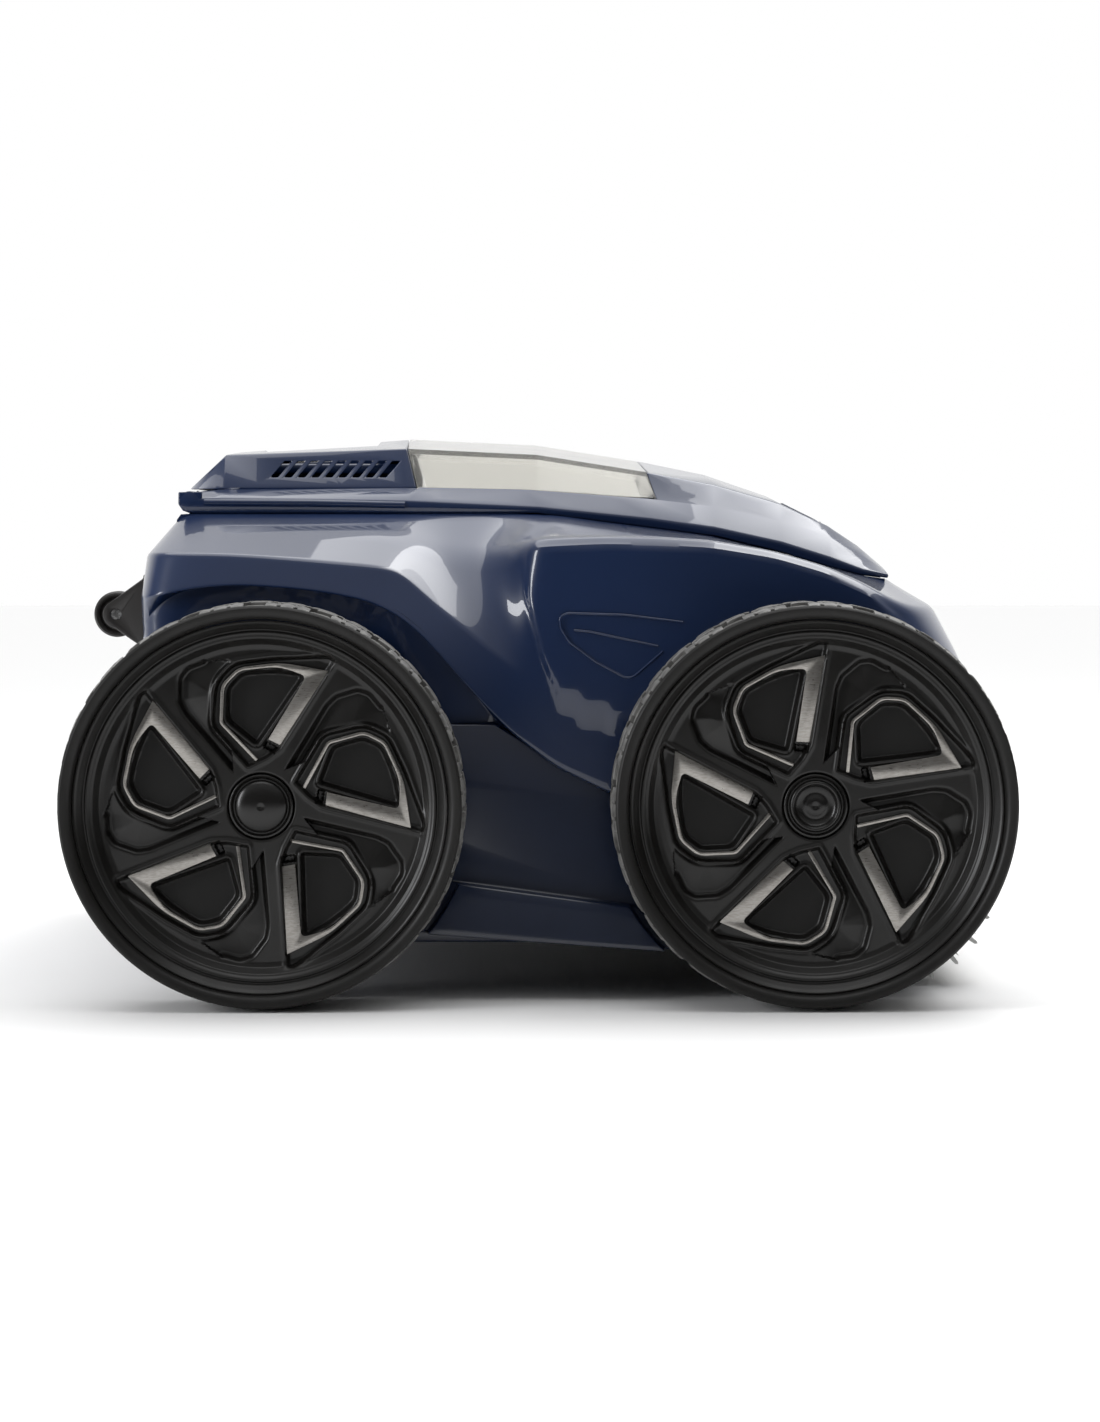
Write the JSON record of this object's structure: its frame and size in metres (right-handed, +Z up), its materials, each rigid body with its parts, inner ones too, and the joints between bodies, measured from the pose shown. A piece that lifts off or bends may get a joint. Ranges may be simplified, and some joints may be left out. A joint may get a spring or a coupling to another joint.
{
  "type": "robotic pool cleaner",
  "caption": "Wheeled robotic pool cleaner with a hinged lid, clear window, filter basket, vertical pump and driven front brushes.",
  "frame": {"origin": "on the floor, midway between the four wheels", "axes": "+X forward, towards the brushes; +Y to the robot's left, along the axles; +Z up"},
  "size_m": [0.438, 0.48, 0.2646],
  "materials": {
    "body_blue": "high gloss, navy",
    "hull_navy": "satin gloss, near-black navy",
    "frame_grey": "moulded, dark grey",
    "inner_grey": "moulded, mid grey",
    "motor_black": "sealed can, black",
    "gear_white": "acetal, off-white",
    "filter_cloth": "fine woven mesh",
    "filter_lid_grey": "moulded, satin",
    "foam_white": "closed-cell foam",
    "bush_black": "moulded, satin",
    "steel": "stainless, satin",
    "gland_rubber": "matt",
    "window_clear": "clear, polished",
    "trim_silver": "metallic silver, brushed",
    "cap_black": "gloss black",
    "tyre_grey": "satin rubber",
    "wheel_black": "satin black",
    "axle_grey": "acetal, dark grey",
    "belt_black": "matt",
    "brush_pale": "soft, pale grey",
    "roller_black": "matt"
  },
  "bodies": {
    "chassis": {"axle_bushes": "bush_black", "brush_bracket": "frame_grey", "cable_gland": "gland_rubber", "carry_handle": "frame_grey", "cover_screws": "steel", "filter_frame": "inner_grey", "filter_lid": "filter_lid_grey", "filter_mesh": "filter_cloth", "float_blocks": "foam_white", "hinge_pins": "steel", "left_drive_belt": "belt_black", "left_drive_motor": "motor_black", "left_roller_bracket": "frame_grey", "lower_hull": "hull_navy", "motor_housing": "inner_grey", "pump_duct": "inner_grey", "pump_motor": "motor_black", "rear_hood": "body_blue", "right_drive_belt": "belt_black", "right_drive_motor": "motor_black", "right_roller_bracket": "frame_grey", "roller_pins": "steel", "suction_cover": "hull_navy", "upper_body": "body_blue"},
    "right_front_wheel": {"right_front_tyre": "tyre_grey", "right_front_wheel": "wheel_black", "right_front_wheel_trim": "trim_silver", "right_front_hub_cap": "cap_black", "right_front_drive_axle": "axle_grey", "right_axle_gear": "gear_white"},
    "right_rear_wheel": {"right_rear_tyre": "tyre_grey", "right_rear_wheel": "wheel_black", "right_rear_wheel_trim": "trim_silver", "right_rear_hub_cap": "cap_black", "right_rear_drive_axle": "axle_grey"},
    "right_pinion": {"right_motor_pinion": "gear_white"},
    "right_brush": {"right_brush_core": "frame_grey", "right_brush_blades": "brush_pale"},
    "right_roller": {"right_rear_roller": "roller_black"},
    "left_front_wheel": {"left_front_tyre": "tyre_grey", "left_front_wheel": "wheel_black", "left_front_wheel_trim": "trim_silver", "left_front_hub_cap": "cap_black", "left_front_drive_axle": "axle_grey", "left_axle_gear": "gear_white"},
    "left_rear_wheel": {"left_rear_tyre": "tyre_grey", "left_rear_wheel": "wheel_black", "left_rear_wheel_trim": "trim_silver", "left_rear_hub_cap": "cap_black", "left_rear_drive_axle": "axle_grey"},
    "left_pinion": {"left_motor_pinion": "gear_white"},
    "left_brush": {"left_brush_core": "frame_grey", "left_brush_blades": "brush_pale"},
    "left_roller": {"left_rear_roller": "roller_black"},
    "impeller": {"impeller": "gear_white"},
    "lid": {"lid_frame": "body_blue", "lid_window": "window_clear", "latch_spring": "steel"},
    "latch": {"latch_button": "body_blue"}
  },
  "joints": [
    {"name": "right_front_wheel_spin", "type": "hinge", "parent": "chassis", "child": "right_front_wheel", "pos_m": [0.126, -0.214, 0.093], "axis": [0, 1, 0], "continuous": true},
    {"name": "right_rear_wheel_spin", "type": "hinge", "parent": "chassis", "child": "right_rear_wheel", "pos_m": [-0.126, -0.214, 0.093], "axis": [0, 1, 0], "continuous": true},
    {"name": "right_pinion_spin", "type": "hinge", "parent": "chassis", "child": "right_pinion", "pos_m": [0.06604, -0.157, 0.11482], "axis": [0, 1, 0], "continuous": true},
    {"name": "right_brush_spin", "type": "hinge", "parent": "chassis", "child": "right_brush", "pos_m": [0.173, -0.073, 0.046], "axis": [0, 1, 0], "continuous": true},
    {"name": "right_roller_spin", "type": "hinge", "parent": "chassis", "child": "right_roller", "pos_m": [-0.202, -0.118, 0.178], "axis": [0, 1, 0], "continuous": true},
    {"name": "left_front_wheel_spin", "type": "hinge", "parent": "chassis", "child": "left_front_wheel", "pos_m": [0.126, 0.214, 0.093], "axis": [0, 1, 0], "continuous": true},
    {"name": "left_rear_wheel_spin", "type": "hinge", "parent": "chassis", "child": "left_rear_wheel", "pos_m": [-0.126, 0.214, 0.093], "axis": [0, 1, 0], "continuous": true},
    {"name": "left_pinion_spin", "type": "hinge", "parent": "chassis", "child": "left_pinion", "pos_m": [0.06604, 0.157, 0.11482], "axis": [0, 1, 0], "continuous": true},
    {"name": "left_brush_spin", "type": "hinge", "parent": "chassis", "child": "left_brush", "pos_m": [0.173, 0.073, 0.046], "axis": [0, 1, 0], "continuous": true},
    {"name": "left_roller_spin", "type": "hinge", "parent": "chassis", "child": "left_roller", "pos_m": [-0.202, 0.118, 0.178], "axis": [0, 1, 0], "continuous": true},
    {"name": "impeller_spin", "type": "hinge", "parent": "chassis", "child": "impeller", "pos_m": [-0.117, 0, 0.17], "axis": [0, 0, 1], "continuous": true},
    {"name": "lid_hinge", "type": "hinge", "parent": "chassis", "child": "lid", "pos_m": [-0.168, 0, 0.232], "axis": [0, -1, 0], "range_deg": [0, 72]},
    {"name": "latch_press", "type": "slide", "parent": "lid", "child": "latch", "axis": [0, 0, -1], "range_m": [0, 0.004], "stiffness_N_per_m": 400, "springref_m": -0.002, "deforming": ["latch_spring"]}
  ],
  "couplings": [
    {"joint": "right_rear_wheel_spin", "follows": "right_front_wheel_spin", "ratio": 1},
    {"joint": "right_pinion_spin", "follows": "right_front_wheel_spin", "ratio": -3},
    {"joint": "right_brush_spin", "follows": "right_front_wheel_spin", "ratio": -2.5714},
    {"joint": "left_rear_wheel_spin", "follows": "left_front_wheel_spin", "ratio": 1},
    {"joint": "left_pinion_spin", "follows": "left_front_wheel_spin", "ratio": -3},
    {"joint": "left_brush_spin", "follows": "left_front_wheel_spin", "ratio": -2.5714}
  ]
}
